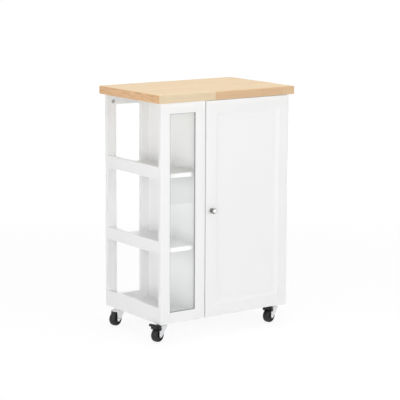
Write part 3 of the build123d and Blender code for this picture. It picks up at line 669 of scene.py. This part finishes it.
# Hinges and catch: two concealed cup hinges pressed from nickel-plated steel, and a magnet in
# a white moulded case that holds a small steel strike on the back of the door.
nickel = plated("nickel_plate", (0.72, 0.70, 0.67), 0.16, (1.0, 1.0, 0.1))
finish_nodes(nickel, "hinge_plates", "hinge_arms", "hinge_cups", "hinge_links")
finish_nodes(bright_zinc, "catch_strike")
moulded = Finish("white_moulding", Roughness=0.4)
point, _ = moulded.place()
mould_cloud = moulded.noise(point, 60.0)
moulded.link(
    moulded.surface,
    Base_Color=moulded.mix(mould_cloud, (0.80, 0.80, 0.79, 1.0), (0.84, 0.84, 0.83, 1.0)),
)
moulded.bump(moulded.noise(point, 1500.0), 0.00002)
finish_nodes(moulded.material, "catch_magnet")

# Knob: turned brass under brushed nickel plate, drawn against the door by a screw from behind.
# The turning leaves fine rings. The face carries a painted highlight, and the rim, neck and foot
# carry painted dark reflections.
knob_low, knob_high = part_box("door_knob")
rim = (0.0058, 0.0088)
neck_start = knob_low.y + 0.007
neck_end = knob_low.y + 0.011
brushed = Finish("brushed_nickel", Metallic=1.0)
point, (x, y, z) = brushed.place()
from_axis_x = x - (knob_low.x + knob_high.x) / 2
from_axis_z = z - (knob_low.z + knob_high.z) / 2
from_axis = (from_axis_x * from_axis_x + from_axis_z * from_axis_z).root()
turning = brushed.noise(brushed.join(from_axis, y, 0.0), 2600.0, 2.0)
mottle = brushed.noise(point, 300.0, 3.0)
before_neck = 1 - brushed.ramp(y, neck_start, neck_end)
# Painted highlight on the face near the axis, fading out across the rim radii
painted_highlight_share = before_neck * (1 - brushed.ramp(from_axis, *rim))
# Painted dark reflection on the rim, neck and foot, mottled by noise
painted_dark_reflection = brushed.mix(mottle, (0.15, 0.145, 0.135, 1.0), (0.24, 0.235, 0.22, 1.0))
brushed.link(
    brushed.surface,
    Base_Color=brushed.mix(painted_highlight_share, painted_dark_reflection, (0.80, 0.79, 0.77, 1.0)),
    Roughness=0.20 + 0.12 * turning + 0.08 * mottle,
)
brushed.bump(turning, 0.000006)
finish_nodes(brushed.material, "door_knob", "knob_screw")

# Studio: a wide white floor and white walls, lit by five softboxes. The camera, glossy surfaces
# and glass see floor and walls as white, and the floor keeps a soft shadow. A low dark card, seen
# only in gloss, shows in the pane.


def card(name, corners):
    """A flat four-cornered sheet that stands for part of the studio."""
    mesh = bpy.data.meshes.new(name)
    mesh.from_pydata(corners, [], [(0, 1, 2, 3)])
    sheet = bpy.data.objects.new(name, mesh)
    bpy.context.scene.collection.objects.link(sheet)
    return sheet


def seen_directly(tree):
    """1 for rays from the camera, off gloss or through glass, and 0 for rays that light things."""
    rays = tree.nodes.new("ShaderNodeLightPath")
    seen = Signal(tree, rays.outputs["Is Camera Ray"])
    for name in ("Is Glossy Ray", "Is Transmission Ray"):
        seen = seen.higher(Signal(tree, rays.outputs[name]))
    return seen


reach = 30.0
floor_corners = [(-reach, -reach, 0), (reach, -reach, 0), (reach, reach, 0), (-reach, reach, 0)]
floor = card("floor", floor_corners)
paper = Finish("white_paper", Base_Color=(0.90, 0.90, 0.90, 1.0), Roughness=0.9)
seen = seen_directly(paper.tree)
thin_paper = paper.add("ShaderNodeBsdfDiffuse", Color=(0.16, 0.16, 0.16, 1.0))
_, (x, y, z) = paper.place()
far_share = paper.ramp((x * x + y * y).root(), 0.7, 5.0)
glow = paper.add("ShaderNodeEmission", Color=(1, 1, 1, 1), Strength=0.88 + 0.12 * far_share)
shown = paper.add("ShaderNodeAddShader", _0=thin_paper, _1=glow)
lit = Signal(paper.tree, paper.surface.outputs[0])
blended = paper.add("ShaderNodeMixShader", Fac=seen, _1=lit, _2=shown)
paper.link(paper.tree.nodes["Material Output"], Surface=blended)
floor.data.materials.append(paper.material)

dark_card = Finish("dark_card", Base_Color=(0.03, 0.03, 0.03, 1.0), Roughness=1.0)
low_card = card(
    "low_card", [(1.1, -2.46, 0.0), (1.75, -2.46, 0.0), (1.75, -2.46, 0.20), (1.1, -2.46, 0.20)]
)
low_card.data.materials.append(dark_card.material)
low_card.visible_camera = False
low_card.visible_diffuse = False
low_card.visible_shadow = False

world = bpy.data.worlds.new("white_surround")
world.use_nodes = True
bpy.context.scene.world = world
surround = world.node_tree
wall_level = 1.30
sky = surround.nodes["Background"]
sky.inputs["Color"].default_value = (1, 1, 1, 1)
look = surround.nodes.new("ShaderNodeTexCoord")
look_parts = surround.nodes.new("ShaderNodeSeparateXYZ")
surround.links.new(look.outputs["Generated"], look_parts.inputs["Vector"])
level_look = 1 - Signal(surround, look_parts.outputs["Z"]).higher(0.0)
wall_light = level_look * level_look * level_look * wall_level
seen = seen_directly(surround)
strength = seen + (1 - seen) * wall_light
surround.links.new(strength.socket, sky.inputs["Strength"])


def softbox(name, place, aim, width, height, power):
    """A rectangular softbox at a place, turned to face an aim."""
    lamp = bpy.data.lights.new(name, "AREA")
    lamp.shape = "RECTANGLE"
    lamp.size = width
    lamp.size_y = height
    lamp.energy = power
    box = bpy.data.objects.new(name, lamp)
    box.location = place
    box.rotation_euler = (Vector(aim) - Vector(place)).to_track_quat("-Z", "Y").to_euler()
    bpy.context.scene.collection.objects.link(box)
    box.visible_camera = False


softbox("overhead_softbox", (0.0, 0.0, 3.6), (0, 0, 0.5), 3.0, 3.0, 64.0)
softbox("front_softbox", (1.2, -3.8, 1.7), (0, 0, 0.45), 3.0, 2.4, 39.0)
softbox("corner_softbox", (-2.6, -3.2, 1.5), (-0.1, 0, 0.45), 2.0, 2.0, 35.0)
softbox("left_softbox", (-3.6, -0.9, 0.9), (-0.2, 0, 0.45), 2.4, 1.8, 30.0)
softbox("back_softbox", (2.4, 3.2, 0.45), (0, 0, 0.42), 2.6, 0.75, 22.0)

# Camera: in front of the left corner, a little above the worktop, with a long lens. Its place,
# its turn and its lens were fitted to the corners of the worktop and the body.
pan_degrees = -35.283
drop_degrees = 10.1527
roll_degrees = 0.264
camera_data = bpy.data.cameras.new("camera")
camera_data.lens = 143.138
camera_data.sensor_width = 36.0
camera_data.clip_end = 100.0
camera = bpy.data.objects.new("camera", camera_data)
camera.location = (-3.37113, -4.78721, 1.51989)
turn = Matrix.Rotation(radians(pan_degrees), 3, "Z")
tilt = Matrix.Rotation(radians(90 - drop_degrees), 3, "X")
roll = Matrix.Rotation(radians(roll_degrees), 3, "Z")
camera.rotation_euler = (turn @ tilt @ roll).to_euler()
bpy.context.scene.collection.objects.link(camera)
bpy.context.scene.camera = camera
bpy.context.scene.view_settings.view_transform = "Standard"
